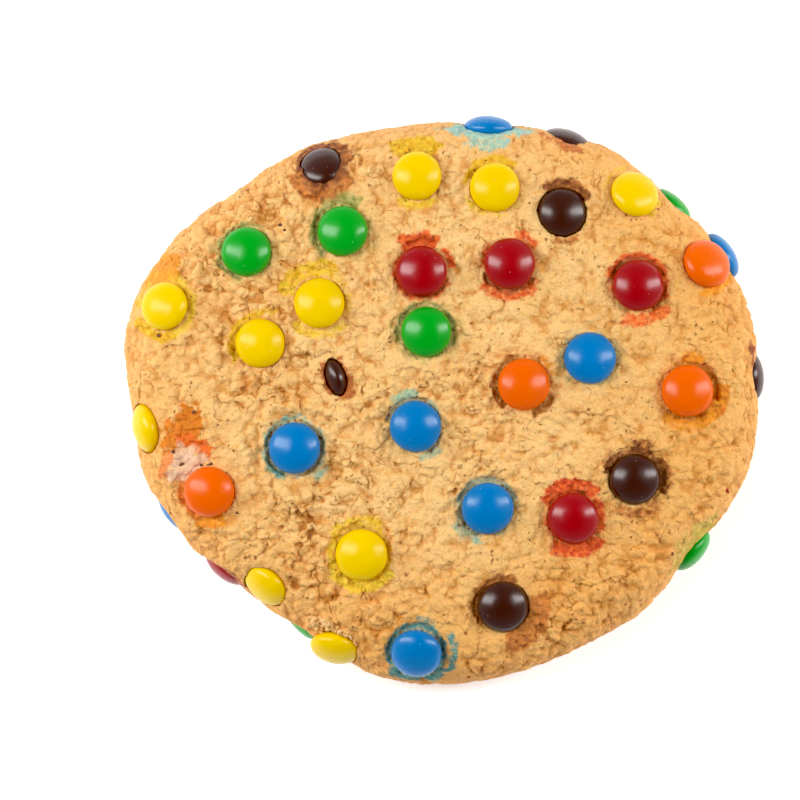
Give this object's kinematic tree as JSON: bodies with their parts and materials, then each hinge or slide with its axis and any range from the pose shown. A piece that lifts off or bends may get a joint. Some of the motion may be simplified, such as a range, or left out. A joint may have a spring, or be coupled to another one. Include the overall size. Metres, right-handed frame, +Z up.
{
  "type": "giant candy cookie",
  "caption": "A giant baked cookie with a crackled domed top and sugar-shelled candies set in its dough, lying flat.",
  "frame": {"origin": "middle of the flat underside, on the surface that the cookie lies on", "axes": "+Z up out of the domed top, through the cookie's thickness; +X to the right and +Y away, as the cookie is seen from above"},
  "size_m": [0.1722, 0.1531, 0.031],
  "materials": {
    "dough": "baked cookie dough: dry pale golden crust, matte and crackled, stained with shell dye round the candies",
    "candy_yellow": "polished sugar shell, yellow, low gloss",
    "candy_red": "polished sugar shell, red, low gloss",
    "candy_blue": "polished sugar shell, blue, low gloss",
    "candy_green": "polished sugar shell, green, low gloss",
    "candy_orange": "polished sugar shell, orange, low gloss",
    "candy_brown": "polished sugar shell, brown, low gloss"
  },
  "bodies": {
    "root": {"candy_blue_1": "candy_blue", "candy_blue_2": "candy_blue", "candy_blue_3": "candy_blue", "candy_blue_4": "candy_blue", "candy_blue_5": "candy_blue", "candy_blue_6": "candy_blue", "candy_blue_7": "candy_blue", "candy_blue_8": "candy_blue", "candy_brown_1": "candy_brown", "candy_brown_2": "candy_brown", "candy_brown_3": "candy_brown", "candy_brown_4": "candy_brown", "candy_brown_5": "candy_brown", "candy_brown_6": "candy_brown", "candy_brown_7": "candy_brown", "candy_green_1": "candy_green", "candy_green_2": "candy_green", "candy_green_3": "candy_green", "candy_green_4": "candy_green", "candy_green_5": "candy_green", "candy_green_6": "candy_green", "candy_orange_1": "candy_orange", "candy_orange_2": "candy_orange", "candy_orange_3": "candy_orange", "candy_orange_4": "candy_orange", "candy_red_1": "candy_red", "candy_red_2": "candy_red", "candy_red_3": "candy_red", "candy_red_4": "candy_red", "candy_red_5": "candy_red", "candy_yellow_1": "candy_yellow", "candy_yellow_10": "candy_yellow", "candy_yellow_2": "candy_yellow", "candy_yellow_3": "candy_yellow", "candy_yellow_4": "candy_yellow", "candy_yellow_5": "candy_yellow", "candy_yellow_6": "candy_yellow", "candy_yellow_7": "candy_yellow", "candy_yellow_8": "candy_yellow", "candy_yellow_9": "candy_yellow", "dough": "dough"}
  },
  "joints": []
}
